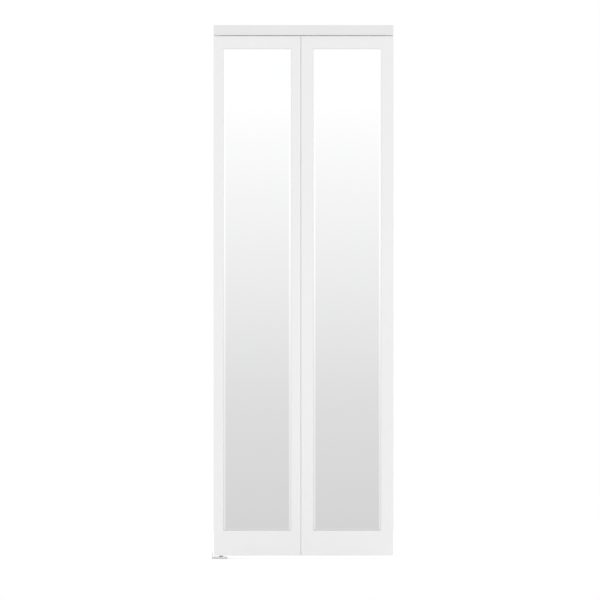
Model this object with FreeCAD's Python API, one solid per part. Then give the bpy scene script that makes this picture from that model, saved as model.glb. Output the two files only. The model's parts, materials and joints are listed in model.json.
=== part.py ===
import FreeCAD, Part
import math
import os
from collections import namedtuple

# Two-leaf bifold closet door with inset mirrors, hung left.
#
# All sizes are in millimetres. The origin is on the floor, on the axis of the jamb pivots.
# +X runs along the track from the jamb to the lead edge, -Y faces the room, +Z is up.
# The jamb leaf turns on two pivots at the jamb. The lead leaf is hinged to it at the back of
# the seam, and a spring-loaded wheel near its far edge runs in the track. At the front of the
# seam a lip on the lead leaf laps over a rebate in the jamb leaf, so no light shows through.

V = FreeCAD.Vector

# ---------------------------------------------------------------- driving dimensions

# Door pair and the gaps round it
PAIR_WIDTH = 693.7
LEAF_HEIGHT = 2006.6
SEAM_GAP = 3.5
FLOOR_GAP = 12.7
HEAD_GAP = 1.2
JAMB_CLEARANCE = 7.0
PIVOT_INSET = 28.6

# Leaf construction
SKIN_THICKNESS = 3.2
CORE_THICKNESS = 28.6
STILE_WIDTH = 60.0
TOP_RAIL_HEIGHT = 66.0
BOTTOM_RAIL_HEIGHT = 112.0
EDGE_EASE = 1.2

# Lap of the lead leaf's lip over the jamb leaf at the front of the seam
LAP_WIDTH = 10.0
LAP_THICKNESS = 12.0
LAP_FACE_GAP = 0.8
LAP_BACK_GAP = 1.0

# Mirror and the window that it sits in
WINDOW_WIDTH = 261.4
WINDOW_TOP_MARGIN = 50.5
WINDOW_BOTTOM_MARGIN = 96.5
MIRROR_THICKNESS = 4.0
MIRROR_EDGE_GAP = 0.2
MIRROR_RECESS = 0.6
BEVEL_WIDTH = 8.0
BEVEL_DEPTH = 2.0
TAPE_THICKNESS = 0.8
TAPE_WIDTH = 25.0
TAPE_EDGE_INSET = 24.0
TAPE_STRIPS = 3

# Track extrusion
FASCIA_HEIGHT = 39.5
FASCIA_THICKNESS = 1.6
FASCIA_STEP = 3.5
HEM_HEIGHT = 7.0
HEM_PROUD = 1.2
TRACK_WEB = 1.6
TRACK_WALL = 1.5
CHANNEL_INNER_WIDTH = 20.0
CHANNEL_DEPTH = 26.0
REAR_LEG_CLEARANCE = 3.2
LIP_OVERHANG = 1.4
TRACK_HOLE_RADIUS = 2.25
TRACK_HOLE_SPACINGS = (500.0, 160.0)

# Spring-loaded plungers: the top pivot pin and the guide pin
PLUNGER_RADIUS = 4.0
PLUNGER_TRAVEL = 13.0
PLUNGER_COLLAR_RADIUS = 4.85
PLUNGER_COLLAR_HEIGHT = 3.0
PIVOT_PIN_CHAMFER = 0.8
PIVOT_PIN_RETRACT_GAP = 1.0
SLEEVE_RADIUS = 6.0
SLEEVE_SIDES = 12
SLEEVE_CHAMBER_RADIUS = 5.0
SLEEVE_NECK_LENGTH = 8.0
SLEEVE_END_WALL = 1.5
SLEEVE_FLANGE_ACROSS_FLATS = 16.0
SLEEVE_FLANGE_HEIGHT = 1.2
SPRING_LENGTH = 34.0
SPRING_MEAN_RADIUS = 3.75
SPRING_WIRE = 1.2
SPRING_TURNS = 5
SPRING_SIDES = 8

# Guide wheel
WHEEL_RADIUS = 8.3
WHEEL_WIDTH = 8.0
JOURNAL_RADIUS = 3.0
JOURNAL_HEAD_RADIUS = 4.6
JOURNAL_HEAD_HEIGHT = 1.5
WHEEL_END_PLAY = 0.2
WHEEL_RETRACT_GAP = 0.3

# Top pivot bracket and its lock screw
TOP_BRACKET_BACK = 28.0
TOP_BRACKET_FRONT = 20.0
TOP_BRACKET_SHEET = 2.0
TOP_BRACKET_SIDE_HEIGHT = 8.0
SOCKET_BOSS_ACROSS_FLATS = 13.0
SOCKET_BOSS_HEIGHT = 12.5
LOCK_SCREW_OFFSET = 18.0
LOCK_SCREW_RADIUS = 2.5
LOCK_NUT_ACROSS_FLATS = 10.0
LOCK_NUT_HEIGHT = 6.0
LOCK_HEAD_ACROSS_FLATS = 8.0
LOCK_HEAD_HEIGHT = 3.0

# Rubber stop at the lead end of the track
STOP_HEIGHT = 13.0
STOP_NOSE_ROUND = 7.0
STOP_CLEARANCE = 0.6

# Jamb bracket on the floor
BRACKET_SHEET = 1.6
BRACKET_WIDTH = 35.0
BRACKET_REACH = 24.0
BRACKET_LEG_HEIGHT = 26.0
BRACKET_CORNER_RADIUS = 5.0
BRACKET_BEND_RADIUS = 1.4
RIB_TOP_WIDTH = 17.0
RIB_SLOPE = 1.0
TOOTH_ACROSS_FLATS = 8.0
TOOTH_PITCH = 4.0
TEETH_EACH_WAY = 4
BRACKET_HOLE_RADIUS = 2.2
FLOOR_HOLE_X = 10.0
FLOOR_HOLE_SPACING = 27.0
JAMB_HOLE_Z = 17.0
JAMB_HOLE_SPACING = 20.0

# Bottom pivot pin, its height nut and the sleeve in the leaf
BOTTOM_PIN_RADIUS = 4.75
BOTTOM_PIN_ENGAGEMENT = 34.0
BOTTOM_PIN_COLLAR_ACROSS_FLATS = 13.0
BOTTOM_PIN_COLLAR_HEIGHT = 1.5
BOTTOM_PIN_TIP_LENGTH = 4.5
NUT_HEIGHT = 3.0
NUT_ACROSS_FLATS = 15.0
NUT_GAP = 0.5
BOTTOM_SLEEVE_LENGTH = 38.0

# Hinges on the back of the seam
HINGE_HEIGHT = 76.0
HINGE_PLATE_WIDTH = 22.0
HINGE_PLATE_THICKNESS = 1.8
HINGE_CORNER_RADIUS = 4.0
HINGE_PIN_RADIUS = 2.0
HINGE_KNUCKLES = 3
KNUCKLE_SIDES = 16
KNUCKLE_END_GAP = 0.3
KNUCKLE_RELIEF_GAP = 0.4
TOP_HINGE_DROP = 178.0
BOTTOM_HINGE_RISE = 280.0

# Hinge screws
SCREW_LENGTH = 16.0
SCREW_SHANK_RADIUS = 1.6
SCREW_HEAD_RADIUS = 3.3
SCREW_TIP_RADIUS = 0.4
SCREW_TIP_LENGTH = 2.5
SCREW_SIDES = 8
SCREW_OUTER_OFFSET = 15.5
SCREW_INNER_OFFSET = 10.5
SCREW_Z_OFFSET = 27.0

# Clearances
RUNNING_FIT = 0.05
SEAT_FIT = 0.05
SLIDE_FIT = 0.2
SCREW_FIT = 0.1
BORE_END_GAP = 1.0

# ---------------------------------------------------------------- places worked out from them

LEAF_THICKNESS = CORE_THICKNESS + 2 * SKIN_THICKNESS
LEAF_WIDTH = (PAIR_WIDTH - SEAM_GAP) / 2
FRONT_Y = -LEAF_THICKNESS / 2
BACK_Y = LEAF_THICKNESS / 2
CORE_FRONT_Y = FRONT_Y + SKIN_THICKNESS
CORE_BACK_Y = BACK_Y - SKIN_THICKNESS

OUTER_EDGE_X = -PIVOT_INSET
HINGE_EDGE_X = OUTER_EDGE_X + LEAF_WIDTH
SEAM_X = HINGE_EDGE_X + SEAM_GAP / 2
GUIDE_X = 2 * SEAM_X
LEAD_EDGE_X = OUTER_EDGE_X + PAIR_WIDTH
JAMB_FACE_X = OUTER_EDGE_X - JAMB_CLEARANCE

LEAF_BOTTOM_Z = FLOOR_GAP
LEAF_TOP_Z = LEAF_BOTTOM_Z + LEAF_HEIGHT
WINDOW_BOTTOM_Z = LEAF_BOTTOM_Z + WINDOW_BOTTOM_MARGIN
WINDOW_TOP_Z = LEAF_TOP_Z - WINDOW_TOP_MARGIN

LAP_BACK_Y = FRONT_Y + LAP_THICKNESS
REBATE_BACK_Y = LAP_BACK_Y + LAP_BACK_GAP

MIRROR_FRONT_Y = FRONT_Y + MIRROR_RECESS
MIRROR_BACK_Y = MIRROR_FRONT_Y + MIRROR_THICKNESS
TAPE_BACK_Y = MIRROR_BACK_Y + TAPE_THICKNESS

FASCIA_BOTTOM_Z = LEAF_TOP_Z + HEAD_GAP
TRACK_TOP_Z = FASCIA_BOTTOM_Z + FASCIA_HEIGHT
WEB_BOTTOM_Z = TRACK_TOP_Z - TRACK_WEB
LIP_BOTTOM_Z = TRACK_TOP_Z - CHANNEL_DEPTH
LIP_TOP_Z = LIP_BOTTOM_Z + TRACK_WALL
REAR_LEG_BOTTOM_Z = LEAF_TOP_Z + REAR_LEG_CLEARANCE
FASCIA_Y = FRONT_Y - FASCIA_STEP
CHANNEL_HALF = CHANNEL_INNER_WIDTH / 2
SLOT_HALF = CHANNEL_HALF - LIP_OVERHANG

KNUCKLE_RADIUS = HINGE_PIN_RADIUS + RUNNING_FIT + HINGE_PLATE_THICKNESS
HINGE_Y = BACK_Y + KNUCKLE_RADIUS
HINGE_FACE_Y = BACK_Y + HINGE_PLATE_THICKNESS

SLEEVE_TOP_Z = LEAF_TOP_Z + SLEEVE_FLANGE_HEIGHT
NECK_BOTTOM_Z = SLEEVE_TOP_Z - SLEEVE_NECK_LENGTH
SPRING_TOP_Z = NECK_BOTTOM_Z - PLUNGER_COLLAR_HEIGHT
SPRING_SEAT_Z = SPRING_TOP_Z - SPRING_LENGTH
SLEEVE_BOTTOM_Z = SPRING_SEAT_Z - SLEEVE_END_WALL
PIVOT_PIN_TOP_Z = LIP_BOTTOM_Z + PLUNGER_TRAVEL - PIVOT_PIN_RETRACT_GAP
JOURNAL_HEAD_TOP_Z = LIP_BOTTOM_Z + PLUNGER_TRAVEL - WHEEL_RETRACT_GAP
JOURNAL_HEAD_BOTTOM_Z = JOURNAL_HEAD_TOP_Z - JOURNAL_HEAD_HEIGHT
WHEEL_TOP_Z = JOURNAL_HEAD_BOTTOM_Z - WHEEL_END_PLAY
WHEEL_BOTTOM_Z = WHEEL_TOP_Z - WHEEL_WIDTH

# The hinge axis lies behind the leaves, so the wheel first moves outward by this much as they fold.
GUIDE_OVERSHOOT = 2 * (math.hypot(SEAM_X, HINGE_Y) - SEAM_X)
STOP_NOSE_X = GUIDE_X + GUIDE_OVERSHOOT + WHEEL_RADIUS + STOP_CLEARANCE

NUT_TOP_Z = LEAF_BOTTOM_Z - SLEEVE_FLANGE_HEIGHT
NUT_BOTTOM_Z = NUT_TOP_Z - NUT_HEIGHT
BOTTOM_COLLAR_TOP_Z = NUT_BOTTOM_Z - NUT_GAP
RIB_TOP_Z = BOTTOM_COLLAR_TOP_Z - BOTTOM_PIN_COLLAR_HEIGHT
BOTTOM_PIN_TOP_Z = LEAF_BOTTOM_Z + BOTTOM_PIN_ENGAGEMENT

HINGE_CENTRES_Z = {
    "bottom": LEAF_BOTTOM_Z + BOTTOM_HINGE_RISE,
    "middle": (LEAF_BOTTOM_Z + BOTTOM_HINGE_RISE + LEAF_TOP_Z - TOP_HINGE_DROP) / 2,
    "top": LEAF_TOP_Z - TOP_HINGE_DROP,
}

# What differs between the leaves, for the lead leaf as its mirror image in the jamb leaf's place:
# how far its front face reaches towards the seam, and whether it stands on the bottom pivot.
Leaf = namedtuple("Leaf", "face_end_x has_bottom_pivot")
JAMB_LEAF = Leaf(SEAM_X - LAP_WIDTH - LAP_FACE_GAP / 2, True)
LEAD_LEAF = Leaf(SEAM_X + LAP_WIDTH - LAP_FACE_GAP / 2, False)


# ---------------------------------------------------------------- helpers

def box(x_range, y_range, z_range):
    """An axis-aligned block between three pairs of limits."""
    size = [high - low for low, high in (x_range, y_range, z_range)]
    return Part.makeBox(*size, V(x_range[0], y_range[0], z_range[0]))


def flat_face(points):
    """The flat face whose outline passes through the points in turn."""
    return Part.Face(Part.makePolygon(points + points[:1]))


def turned(profile, axis_x):
    """A solid turned about the vertical line at axis_x from (radius, z) points."""
    face = flat_face([V(axis_x + radius, 0, z) for radius, z in profile])
    return face.revolve(V(axis_x, 0, 0), V(0, 0, 1), 360)


def facetted_along_y(profile, x, z):
    """A screw-like solid about the line through (x, z) along Y, from (radius, y) points.

    It has flat sides, because the many small screws and their holes would be heavy if round.
    """
    angles = [math.tau * n / SCREW_SIDES for n in range(SCREW_SIDES)]
    rings = [
        [V(x + radius * math.cos(a), y, z + radius * math.sin(a)) for a in angles]
        for radius, y in profile
    ]
    faces = [flat_face(rings[0]), flat_face(rings[-1])]
    for ring, next_ring in zip(rings, rings[1:]):
        for n in range(SCREW_SIDES):
            faces.append(flat_face([ring[n - 1], ring[n], next_ring[n], next_ring[n - 1]]))
    return Part.Solid(Part.Shell(faces))


def along_x(profile, x_start, x_end):
    """A bar along X whose section is the (y, z) profile."""
    face = flat_face([V(x_start, y, z) for y, z in profile])
    return face.extrude(V(x_end - x_start, 0, 0))


def prism(sides, radius, x, y, z_low, z_high):
    """An upright regular prism, radius to its corners, two of which point along Y."""
    turns = [math.tau * n / sides + math.pi / 2 for n in range(sides)]
    corners = [V(x + radius * math.cos(turn), y + radius * math.sin(turn), z_low) for turn in turns]
    return flat_face(corners).extrude(V(0, 0, z_high - z_low))


def hexagon(across_flats, x, z_low, z_high):
    """An upright hexagonal prism on y = 0, such as a nut or a wrench's grip."""
    return prism(6, across_flats / math.sqrt(3), x, 0, z_low, z_high)


def cylinder(radius, x, y, z_low, z_high):
    """An upright cylinder between two heights."""
    return Part.makeCylinder(radius, z_high - z_low, V(x, y, z_low))


def round_edges(solid, radius, wanted):
    """The solid with each edge for which wanted(edge) holds rounded."""
    return solid.makeFillet(radius, [edge for edge in solid.Edges if wanted(edge)])


def runs_along(edge, direction):
    """Whether a straight edge lies along the given axis vector."""
    start, end = edge.Vertexes[0].Point, edge.Vertexes[-1].Point
    span = end - start
    return span.Length > 0 and abs(abs(span.dot(direction)) - span.Length) < 1e-6


def at_lead_leaf(shape):
    """The same piece of the lead leaf: a mirror image across the seam."""
    return shape.mirror(V(SEAM_X, 0, 0), V(1, 0, 0))


def export(name, shape):
    """Write one sub-part to parts/NAME.step."""
    shape.exportStep(f"parts/{name}.step")


# ---------------------------------------------------------------- leaves (jamb leaf's place)

def window_span(leaf):
    """The (low, high) x of the window, which is centred on the leaf's front face."""
    centre_x = (OUTER_EDGE_X + leaf.face_end_x) / 2
    return centre_x - WINDOW_WIDTH / 2, centre_x + WINDOW_WIDTH / 2


def skin(y_outer, y_inner, end_x):
    """A full-height hardboard skin from the outer edge to end_x, with its outer edges eased."""
    y_range = sorted((y_outer, y_inner))
    sheet = box((OUTER_EDGE_X, end_x), y_range, (LEAF_BOTTOM_Z, LEAF_TOP_Z))
    return round_edges(
        sheet, EDGE_EASE, lambda edge: abs(edge.CenterOfMass.y - y_outer) < 1e-6
    )


def front_skin(leaf):
    """The room-side skin with the window for the mirror."""
    window = box(
        window_span(leaf),
        (FRONT_Y - 1, CORE_FRONT_Y + 1),
        (WINDOW_BOTTOM_Z, WINDOW_TOP_Z),
    )
    return skin(FRONT_Y, CORE_FRONT_Y, leaf.face_end_x).cut(window)


def mirror_pocket(leaf):
    """The space behind the window that is routed out of the stiles and rails."""
    return box(
        window_span(leaf),
        (CORE_FRONT_Y - 1, TAPE_BACK_Y),
        (WINDOW_BOTTOM_Z, WINDOW_TOP_Z),
    )


def hinge_screw_places():
    """The (x, z) of each hinge screw in the jamb leaf."""
    for centre_z in HINGE_CENTRES_Z.values():
        yield SEAM_X - SCREW_OUTER_OFFSET, centre_z - SCREW_Z_OFFSET
        yield SEAM_X - SCREW_INNER_OFFSET, centre_z
        yield SEAM_X - SCREW_OUTER_OFFSET, centre_z + SCREW_Z_OFFSET


def pilot_holes():
    """The holes that the hinge screws fill in the back skin and the hinge stile."""
    radius = SCREW_SHANK_RADIUS + SCREW_FIT
    end_y = HINGE_FACE_Y - SCREW_LENGTH - SCREW_FIT
    return [
        facetted_along_y([(radius, end_y), (radius, HINGE_FACE_Y)], x, z)
        for x, z in hinge_screw_places()
    ]


def back_skin():
    """The closet-side skin, drilled for the hinge screws."""
    return skin(BACK_Y, CORE_BACK_Y, HINGE_EDGE_X).cut(pilot_holes())


def stile(leaf, x_low, x_high):
    """A full-height stile with its share of the mirror pocket routed out."""
    bar = box((x_low, x_high), (CORE_FRONT_Y, CORE_BACK_Y), (LEAF_BOTTOM_Z, LEAF_TOP_Z))
    return bar.cut(mirror_pocket(leaf))


def hinge_stile(leaf):
    """The stile at the seam, drilled for the hinge screws, with its lip or its rebate."""
    bar = stile(leaf, HINGE_EDGE_X - STILE_WIDTH, HINGE_EDGE_X).cut(pilot_holes())
    full_height = (LEAF_BOTTOM_Z, LEAF_TOP_Z)
    if leaf is LEAD_LEAF:
        lip = box((HINGE_EDGE_X, leaf.face_end_x), (CORE_FRONT_Y, LAP_BACK_Y), full_height)
        return bar.fuse(lip).removeSplitter()
    rebate = box((leaf.face_end_x, HINGE_EDGE_X), (CORE_FRONT_Y, REBATE_BACK_Y), full_height)
    return bar.cut(rebate)


def outer_stile(leaf):
    """The stile away from the seam, bored from its ends for the sleeves on the pivot line."""
    radius = SLEEVE_RADIUS + SEAT_FIT
    bar = stile(leaf, OUTER_EDGE_X, OUTER_EDGE_X + STILE_WIDTH)
    bores = [cylinder(radius, 0, 0, SLEEVE_BOTTOM_Z - BORE_END_GAP, LEAF_TOP_Z + 1)]
    if leaf.has_bottom_pivot:
        depth = BOTTOM_SLEEVE_LENGTH + BORE_END_GAP
        bores.append(cylinder(radius, 0, 0, LEAF_BOTTOM_Z - 1, LEAF_BOTTOM_Z + depth))
    return bar.cut(bores)


def rail(leaf, z_low, z_high):
    """A rail between the stiles with its share of the mirror pocket routed out."""
    x_range = (OUTER_EDGE_X + STILE_WIDTH, HINGE_EDGE_X - STILE_WIDTH)
    bar = box(x_range, (CORE_FRONT_Y, CORE_BACK_Y), (z_low, z_high))
    return bar.cut(mirror_pocket(leaf))


def core_panel():
    """The board that fills the frame of stiles and rails and backs the mirror."""
    return box(
        (OUTER_EDGE_X + STILE_WIDTH, HINGE_EDGE_X - STILE_WIDTH),
        (TAPE_BACK_Y, CORE_BACK_Y),
        (LEAF_BOTTOM_Z + BOTTOM_RAIL_HEIGHT, LEAF_TOP_Z - TOP_RAIL_HEIGHT),
    )


def mirror(leaf):
    """The glass, with a bevel ground all round its face."""
    window_low, window_high = window_span(leaf)
    x_range = (window_low + MIRROR_EDGE_GAP, window_high - MIRROR_EDGE_GAP)
    z_range = (WINDOW_BOTTOM_Z + MIRROR_EDGE_GAP, WINDOW_TOP_Z - MIRROR_EDGE_GAP)
    bevel_y = MIRROR_FRONT_Y + BEVEL_DEPTH
    slab = box(x_range, (bevel_y, MIRROR_BACK_Y), z_range)
    outer = rectangle(x_range, z_range, bevel_y)
    inner = rectangle(
        (x_range[0] + BEVEL_WIDTH, x_range[1] - BEVEL_WIDTH),
        (z_range[0] + BEVEL_WIDTH, z_range[1] - BEVEL_WIDTH),
        MIRROR_FRONT_Y,
    )
    crown = Part.makeLoft([outer, inner], True, True)
    return slab.fuse(crown).removeSplitter()


def rectangle(x_range, z_range, y):
    """A closed wire round a rectangle that faces along Y."""
    corners = [(0, 0), (1, 0), (1, 1), (0, 1), (0, 0)]
    return Part.makePolygon([V(x_range[i], y, z_range[j]) for i, j in corners])


def mirror_tape(leaf):
    """Upright strips of foam tape between the glass and what is behind it."""
    window_low, window_high = window_span(leaf)
    first_x = window_low + TAPE_EDGE_INSET
    last_x = window_high - TAPE_EDGE_INSET - TAPE_WIDTH
    step = (last_x - first_x) / (TAPE_STRIPS - 1)
    z_range = (WINDOW_BOTTOM_Z + TAPE_EDGE_INSET, WINDOW_TOP_Z - TAPE_EDGE_INSET)
    return Part.makeCompound([
        box(
            (first_x + step * n, first_x + step * n + TAPE_WIDTH),
            (MIRROR_BACK_Y, TAPE_BACK_Y),
            z_range,
        )
        for n in range(TAPE_STRIPS)
    ])


def leaf_pieces(leaf):
    """The pieces of one leaf by name, in the jamb leaf's place."""
    return {
        "front_skin": front_skin(leaf),
        "back_skin": back_skin(),
        "outer_stile": outer_stile(leaf),
        "hinge_stile": hinge_stile(leaf),
        "top_rail": rail(leaf, LEAF_TOP_Z - TOP_RAIL_HEIGHT, LEAF_TOP_Z),
        "bottom_rail": rail(leaf, LEAF_BOTTOM_Z, LEAF_BOTTOM_Z + BOTTOM_RAIL_HEIGHT),
        "core_panel": core_panel(),
        "mirror": mirror(leaf),
        "mirror_tape": mirror_tape(leaf),
    }


# ---------------------------------------------------------------- track

def track():
    """The painted extrusion: fascia with a hemmed lower edge, web and lipped channel.

    The channel's rear wall runs on down as a leg, which keeps light out of the gap over the leaves.
    """
    wall_y = CHANNEL_HALF + TRACK_WALL
    hem_y = FASCIA_Y - HEM_PROUD
    hem_top_z = FASCIA_BOTTOM_Z + HEM_HEIGHT
    profile = [
        (FASCIA_Y, TRACK_TOP_Z),
        (wall_y, TRACK_TOP_Z),
        (wall_y, REAR_LEG_BOTTOM_Z),
        (CHANNEL_HALF, REAR_LEG_BOTTOM_Z),
        (CHANNEL_HALF, LIP_BOTTOM_Z),
        (SLOT_HALF, LIP_BOTTOM_Z),
        (SLOT_HALF, LIP_TOP_Z),
        (CHANNEL_HALF, LIP_TOP_Z),
        (CHANNEL_HALF, WEB_BOTTOM_Z),
        (-CHANNEL_HALF, WEB_BOTTOM_Z),
        (-CHANNEL_HALF, LIP_TOP_Z),
        (-SLOT_HALF, LIP_TOP_Z),
        (-SLOT_HALF, LIP_BOTTOM_Z),
        (-wall_y, LIP_BOTTOM_Z),
        (-wall_y, WEB_BOTTOM_Z),
        (FASCIA_Y + FASCIA_THICKNESS, WEB_BOTTOM_Z),
        (FASCIA_Y + FASCIA_THICKNESS, FASCIA_BOTTOM_Z),
        (hem_y, FASCIA_BOTTOM_Z),
        (hem_y, hem_top_z),
        (FASCIA_Y, hem_top_z),
    ]
    bar = along_x(profile, OUTER_EDGE_X, LEAD_EDGE_X)

    def is_hem_edge(edge):
        middle = edge.CenterOfMass
        on_hem = abs(middle.y - hem_y) < 1e-6
        return on_hem and runs_along(edge, V(1, 0, 0))

    bar = round_edges(bar, HEM_PROUD * 0.9, is_hem_edge)
    holes = [
        cylinder(TRACK_HOLE_RADIUS, SEAM_X + side * spacing / 2, 0, WEB_BOTTOM_Z - 1, TRACK_TOP_Z + 1)
        for spacing in TRACK_HOLE_SPACINGS
        for side in (-1, 1)
    ]
    return bar.cut(holes)


def track_stop():
    """The rubber stop that fills the lead end of the channel, with a rounded nose for the wheel."""
    block = box(
        (STOP_NOSE_X, LEAD_EDGE_X),
        (-CHANNEL_HALF, CHANNEL_HALF),
        (LIP_TOP_Z, LIP_TOP_Z + STOP_HEIGHT),
    )
    return round_edges(
        block,
        STOP_NOSE_ROUND,
        lambda edge: runs_along(edge, V(0, 0, 1)) and edge.CenterOfMass.x < STOP_NOSE_X + 1e-6,
    )


def top_bracket():
    """The pressed bracket that slides in the channel: a U with a pin socket and a welded nut."""
    x_range = (-TOP_BRACKET_BACK, TOP_BRACKET_FRONT)
    half = CHANNEL_HALF - SLIDE_FIT
    base_top_z = LIP_TOP_Z + TOP_BRACKET_SHEET
    side_top_z = LIP_TOP_Z + TOP_BRACKET_SIDE_HEIGHT
    profile = [
        (-half, LIP_TOP_Z),
        (half, LIP_TOP_Z),
        (half, side_top_z),
        (half - TOP_BRACKET_SHEET, side_top_z),
        (half - TOP_BRACKET_SHEET, base_top_z),
        (TOP_BRACKET_SHEET - half, base_top_z),
        (TOP_BRACKET_SHEET - half, side_top_z),
        (-half, side_top_z),
    ]
    bracket = along_x(profile, *x_range).fuse([
        hexagon(SOCKET_BOSS_ACROSS_FLATS, 0, LIP_TOP_Z, LIP_TOP_Z + SOCKET_BOSS_HEIGHT),
        hexagon(LOCK_NUT_ACROSS_FLATS, -LOCK_SCREW_OFFSET, LIP_TOP_Z, LIP_TOP_Z + LOCK_NUT_HEIGHT),
    ])
    bores = [
        cylinder(PLUNGER_RADIUS + RUNNING_FIT, 0, 0, LIP_TOP_Z - 1, WEB_BOTTOM_Z),
        cylinder(LOCK_SCREW_RADIUS + SEAT_FIT, -LOCK_SCREW_OFFSET, 0, LIP_TOP_Z - 1, WEB_BOTTOM_Z),
    ]
    return bracket.removeSplitter().cut(bores)


def top_bracket_lock_screw():
    """The hexagon-headed screw that jacks against the web and so locks the bracket on the lips."""
    x = -LOCK_SCREW_OFFSET
    head = hexagon(LOCK_HEAD_ACROSS_FLATS, x, LIP_TOP_Z - LOCK_HEAD_HEIGHT, LIP_TOP_Z)
    return head.fuse(cylinder(LOCK_SCREW_RADIUS, x, 0, LIP_TOP_Z, WEB_BOTTOM_Z))


# ---------------------------------------------------------------- plungers in the tops of the leaves

def plunger_sleeve(axis_x):
    """The plastic sleeve in the top of a leaf: a neck above a wider spring chamber.

    The corners of its many-sided barrel grip the wood. Its flange is held while the pin is set.
    """
    barrel = prism(SLEEVE_SIDES, SLEEVE_RADIUS, axis_x, 0, SLEEVE_BOTTOM_Z, LEAF_TOP_Z)
    flange = hexagon(SLEEVE_FLANGE_ACROSS_FLATS, axis_x, LEAF_TOP_Z, SLEEVE_TOP_Z)
    neck = cylinder(PLUNGER_RADIUS + RUNNING_FIT, axis_x, 0, NECK_BOTTOM_Z, SLEEVE_TOP_Z + 1)
    chamber = cylinder(SLEEVE_CHAMBER_RADIUS, axis_x, 0, SPRING_SEAT_Z, NECK_BOTTOM_Z)
    return barrel.fuse(flange).cut([neck, chamber])


def plunger_spring(axis_x):
    """The square-wire compression spring between the sleeve's end and the plunger's collar.

    The coil is bent in short straight lengths, SPRING_SIDES to a turn.
    """
    half = SPRING_WIRE / 2
    rise = SPRING_LENGTH - SPRING_WIRE
    steps = SPRING_TURNS * SPRING_SIDES
    path = []
    for n in range(steps + 1):
        angle = math.tau * n / SPRING_SIDES
        across = V(math.cos(angle), math.sin(angle), 0) * SPRING_MEAN_RADIUS
        path.append(V(axis_x, 0, SPRING_SEAT_Z + half + rise * n / steps) + across)
    corners = [(-half, -half), (half, -half), (half, half), (-half, half), (-half, -half)]
    section = Part.makePolygon([path[0] + V(across, 0, up) for across, up in corners])
    return Part.makePolygon(path).makePipeShell([section], True, True, 1)


def plunger_foot():
    """The (radius, z) points of the collar that both plungers stand on the spring with."""
    return [
        (0, SPRING_TOP_Z),
        (PLUNGER_COLLAR_RADIUS, SPRING_TOP_Z),
        (PLUNGER_COLLAR_RADIUS, NECK_BOTTOM_Z),
        (PLUNGER_RADIUS, NECK_BOTTOM_Z),
    ]


def top_pivot_pin():
    """The plunger that the jamb leaf turns on at the top."""
    return turned(
        plunger_foot() + [
            (PLUNGER_RADIUS, PIVOT_PIN_TOP_Z - PIVOT_PIN_CHAMFER),
            (PLUNGER_RADIUS - PIVOT_PIN_CHAMFER, PIVOT_PIN_TOP_Z),
            (0, PIVOT_PIN_TOP_Z),
        ],
        0,
    )


def guide_pin():
    """The plunger that carries the wheel on a headed journal."""
    shoulder_z = WHEEL_BOTTOM_Z - WHEEL_END_PLAY
    return turned(
        plunger_foot() + [
            (PLUNGER_RADIUS, shoulder_z),
            (JOURNAL_RADIUS, shoulder_z),
            (JOURNAL_RADIUS, JOURNAL_HEAD_BOTTOM_Z),
            (JOURNAL_HEAD_RADIUS, JOURNAL_HEAD_BOTTOM_Z),
            (JOURNAL_HEAD_RADIUS, JOURNAL_HEAD_TOP_Z),
            (0, JOURNAL_HEAD_TOP_Z),
        ],
        GUIDE_X,
    )


def guide_wheel():
    """The nylon wheel on the journal."""
    bore = JOURNAL_RADIUS + RUNNING_FIT
    return turned(
        [
            (bore, WHEEL_BOTTOM_Z),
            (WHEEL_RADIUS, WHEEL_BOTTOM_Z),
            (WHEEL_RADIUS, WHEEL_TOP_Z),
            (bore, WHEEL_TOP_Z),
        ],
        GUIDE_X,
    )


# ---------------------------------------------------------------- jamb bracket and bottom pivot

def jamb_bracket():
    """The pressed steel bracket: a leg on the jamb and a ribbed foot with a toothed slot."""
    half = BRACKET_WIDTH / 2
    rib = RIB_TOP_WIDTH / 2
    sheet = BRACKET_SHEET
    leg_x = JAMB_FACE_X + sheet
    right_half = [
        (half, 0),
        (half, sheet),
        (rib + RIB_SLOPE, sheet),
        (rib, RIB_TOP_Z),
    ]
    inner_half = [(rib - sheet, RIB_TOP_Z - sheet), (rib + RIB_SLOPE - sheet, 0)]
    outline = right_half + [(-y, z) for y, z in reversed(right_half)]
    inside = [(-y, z) for y, z in reversed(inner_half)] + inner_half
    foot = along_x(outline + inside, leg_x, BRACKET_REACH)
    leg = box((JAMB_FACE_X, leg_x), (-half, half), (0, BRACKET_LEG_HEIGHT))
    leg = round_edges(
        leg,
        BRACKET_CORNER_RADIUS,
        lambda edge: runs_along(edge, V(1, 0, 0)) and edge.CenterOfMass.z > BRACKET_LEG_HEIGHT - 1e-6,
    )
    bracket = foot.fuse(leg).removeSplitter()
    bracket = round_edges(
        bracket,
        BRACKET_BEND_RADIUS,
        lambda edge: edge.CenterOfMass.z < 1e-6 and edge.CenterOfMass.x < JAMB_FACE_X + 1e-6,
    )
    return bracket.cut(bracket_cuts())


def bracket_cuts():
    """The toothed slot, the floor holes and the jamb holes."""
    teeth = [
        hexagon(TOOTH_ACROSS_FLATS, TOOTH_PITCH * n, RIB_TOP_Z - BRACKET_SHEET - 1, RIB_TOP_Z + 1)
        for n in range(-TEETH_EACH_WAY, TEETH_EACH_WAY + 1)
    ]
    cuts = [teeth[0].fuse(teeth[1:]).removeSplitter()]
    for side in (-1, 1):
        floor_y = side * FLOOR_HOLE_SPACING / 2
        cuts.append(cylinder(BRACKET_HOLE_RADIUS, FLOOR_HOLE_X, floor_y, -1, BRACKET_SHEET + 1))
        start = V(JAMB_FACE_X - 1, side * JAMB_HOLE_SPACING / 2, JAMB_HOLE_Z)
        cuts.append(Part.makeCylinder(BRACKET_HOLE_RADIUS, BRACKET_SHEET + 2, start, V(1, 0, 0)))
    return cuts


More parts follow.
